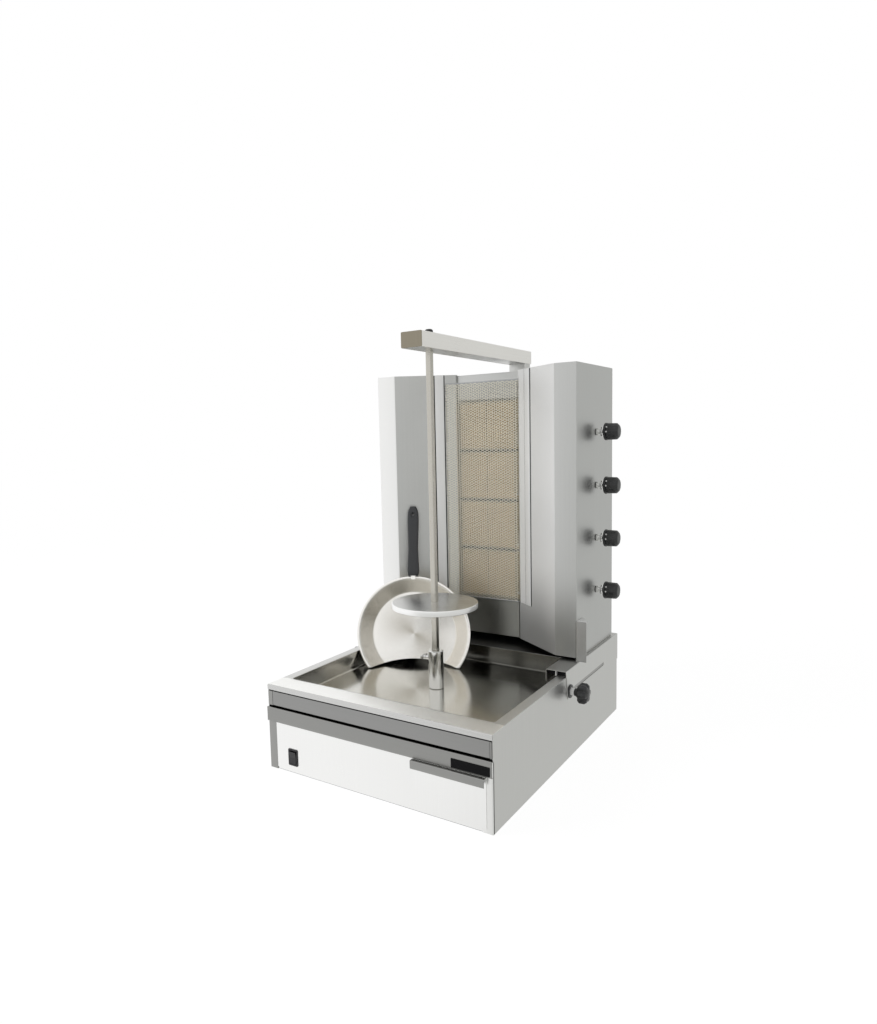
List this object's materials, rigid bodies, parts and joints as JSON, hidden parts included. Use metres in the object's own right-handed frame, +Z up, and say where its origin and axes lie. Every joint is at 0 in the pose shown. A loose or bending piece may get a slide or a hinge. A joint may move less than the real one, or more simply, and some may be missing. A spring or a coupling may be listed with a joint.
{
  "type": "doner kebab grill",
  "caption": "Counter-top gas kebab grill: a turning skewer over a drip pan, a sliding burner tower, an overhead arm and a grease drawer.",
  "frame": {"origin": "the skewer's axis on the plane the machine rests on", "axes": "+X to the machine's right as a cook sees it, +Y from the cook to the burners, +Z up along the skewer"},
  "size_m": [0.701, 0.844, 1.046],
  "materials": {
    "brushed_front": "vertical brushed stainless steel sheet",
    "brushed_side": "brushed stainless steel sheet",
    "pan_steel": "bright rolled stainless steel",
    "dark_strip": "darker brushed stainless steel",
    "galvanised": "plain zinc coated sheet",
    "blank_black": "black lacquered plate",
    "chrome_part": "polished chrome",
    "skewer_steel": "drawn stainless bar",
    "disc_steel": "turned stainless steel",
    "black_plastic": "moulded black plastic",
    "nylon": "natural nylon",
    "mesh_steel": "expanded stainless mesh",
    "burner_steel": "heat tinted steel",
    "ceramic": "perforated ceramic plaque",
    "brass_fitting": "machined brass",
    "motor_paint": "painted cast metal",
    "scoop_steel": "bright spun metal"
  },
  "bodies": {
    "base": {"side_panel_right": "brushed_side", "side_panel_left": "brushed_side", "front_fascia": "brushed_front", "front_apron": "dark_strip", "front_band": "dark_strip", "blank_plate": "blank_black", "back_panel": "galvanised", "bottom_plate": "galvanised", "drip_tray": "pan_steel", "switch_housing": "black_plastic", "drawer_runners": "galvanised", "motor_bridge": "galvanised", "gearbox": "motor_paint", "drive_motor": "motor_paint", "shaft_bush": "nylon", "arm_post": "brushed_side", "top_arm": "brushed_side", "arm_bush": "nylon", "clamp_studs": "chrome_part", "cable_gland": "black_plastic"},
    "spindle": {"drive_shaft": "chrome_part", "drive_coupler": "chrome_part", "skewer_bar": "skewer_steel", "meat_disc": "disc_steel"},
    "lock_screw": {"wing_screw": "chrome_part"},
    "release_pin": {"top_pin": "black_plastic"},
    "drawer": {"drawer_tray": "galvanised", "drawer_front": "brushed_front"},
    "switch_key": {"rocker": "black_plastic"},
    "clamp_right": {"clamp_knob_right": "black_plastic"},
    "clamp_left": {"clamp_knob_left": "black_plastic"},
    "tower": {"carriage_right": "brushed_side", "carriage_left": "brushed_side", "glide_blocks": "nylon", "foot_brackets": "brushed_side", "wing_right": "brushed_side", "wing_left": "brushed_side", "rear_cover": "galvanised", "tower_roof": "galvanised", "tower_floor": "galvanised", "upper_panel": "galvanised", "lower_panel": "pan_steel", "guard_rails": "brushed_side", "mesh_guard": "mesh_steel", "burner_boxes": "burner_steel", "burner_rails": "galvanised", "ceramic_plaques": "ceramic", "flame_probes": "burner_steel", "gas_valves": "brass_fitting", "gas_manifold": "brass_fitting"},
    "scoop": {"scoop_pan": "scoop_steel", "scoop_handle": "black_plastic"},
    "stem_1": {"valve_stem_1": "chrome_part"},
    "knob_1": {"gas_knob_1": "black_plastic"},
    "stem_2": {"valve_stem_2": "chrome_part"},
    "knob_2": {"gas_knob_2": "black_plastic"},
    "stem_3": {"valve_stem_3": "chrome_part"},
    "knob_3": {"gas_knob_3": "black_plastic"},
    "stem_4": {"valve_stem_4": "chrome_part"},
    "knob_4": {"gas_knob_4": "black_plastic"}
  },
  "joints": [
    {"name": "skewer_spin", "type": "hinge", "parent": "base", "child": "spindle", "pos_m": [0, 0, 0.2], "axis": [0, 0, 1], "continuous": true},
    {"name": "lock_screw_turn", "type": "hinge", "parent": "spindle", "child": "lock_screw", "pos_m": [-0.025, 0, 0.238], "axis": [1, 0, 0], "range_deg": [0, 360]},
    {"name": "release_pin_lift", "type": "slide", "parent": "base", "child": "release_pin", "axis": [0, 0, 1], "range_m": [0, 0.018], "stiffness_N_per_m": 300, "springref_m": -0.004},
    {"name": "drawer_slide", "type": "slide", "parent": "base", "child": "drawer", "axis": [0, -1, 0], "range_m": [0, 0.24]},
    {"name": "switch_rock", "type": "hinge", "parent": "base", "child": "switch_key", "pos_m": [-0.2255, -0.289, 0.0395], "axis": [1, 0, 0], "range_deg": [-9, 0]},
    {"name": "clamp_turn_right", "type": "hinge", "parent": "base", "child": "clamp_right", "pos_m": [0.33, 0.126, 0.167], "axis": [1, 0, 0], "range_deg": [-180, 180]},
    {"name": "clamp_turn_left", "type": "hinge", "parent": "base", "child": "clamp_left", "pos_m": [-0.33, 0.126, 0.167], "axis": [1, 0, 0], "range_deg": [-180, 180]},
    {"name": "tower_slide", "type": "slide", "parent": "base", "child": "tower", "axis": [0, -1, 0], "range_m": [0, 0.17]},
    {"name": "scoop_lift", "type": "slide", "parent": "base", "child": "scoop", "axis": [-0.4216, -0.5105, 0.7494], "range_m": [0, 0.854]},
    {"name": "gas_valve_1_turn", "type": "hinge", "parent": "tower", "child": "stem_1", "pos_m": [0.3, 0.34003, 0.378], "axis": [1, 0, 0], "range_deg": [0, 180]},
    {"name": "gas_knob_1_push", "type": "slide", "parent": "stem_1", "child": "knob_1", "axis": [-1, 0, 0], "range_m": [0, 0.003], "stiffness_N_per_m": 1200, "springref_m": -0.001},
    {"name": "gas_valve_2_turn", "type": "hinge", "parent": "tower", "child": "stem_2", "pos_m": [0.3, 0.34003, 0.5156], "axis": [1, 0, 0], "range_deg": [0, 180]},
    {"name": "gas_knob_2_push", "type": "slide", "parent": "stem_2", "child": "knob_2", "axis": [-1, 0, 0], "range_m": [0, 0.003], "stiffness_N_per_m": 1200, "springref_m": -0.001},
    {"name": "gas_valve_3_turn", "type": "hinge", "parent": "tower", "child": "stem_3", "pos_m": [0.3, 0.34003, 0.6532], "axis": [1, 0, 0], "range_deg": [0, 180]},
    {"name": "gas_knob_3_push", "type": "slide", "parent": "stem_3", "child": "knob_3", "axis": [-1, 0, 0], "range_m": [0, 0.003], "stiffness_N_per_m": 1200, "springref_m": -0.001},
    {"name": "gas_valve_4_turn", "type": "hinge", "parent": "tower", "child": "stem_4", "pos_m": [0.3, 0.34003, 0.7908], "axis": [1, 0, 0], "range_deg": [0, 180]},
    {"name": "gas_knob_4_push", "type": "slide", "parent": "stem_4", "child": "knob_4", "axis": [-1, 0, 0], "range_m": [0, 0.003], "stiffness_N_per_m": 1200, "springref_m": -0.001}
  ],
  "couplings": [
    {"joint": "scoop_lift", "follows": "tower_slide", "ratio": 5.0205}
  ]
}
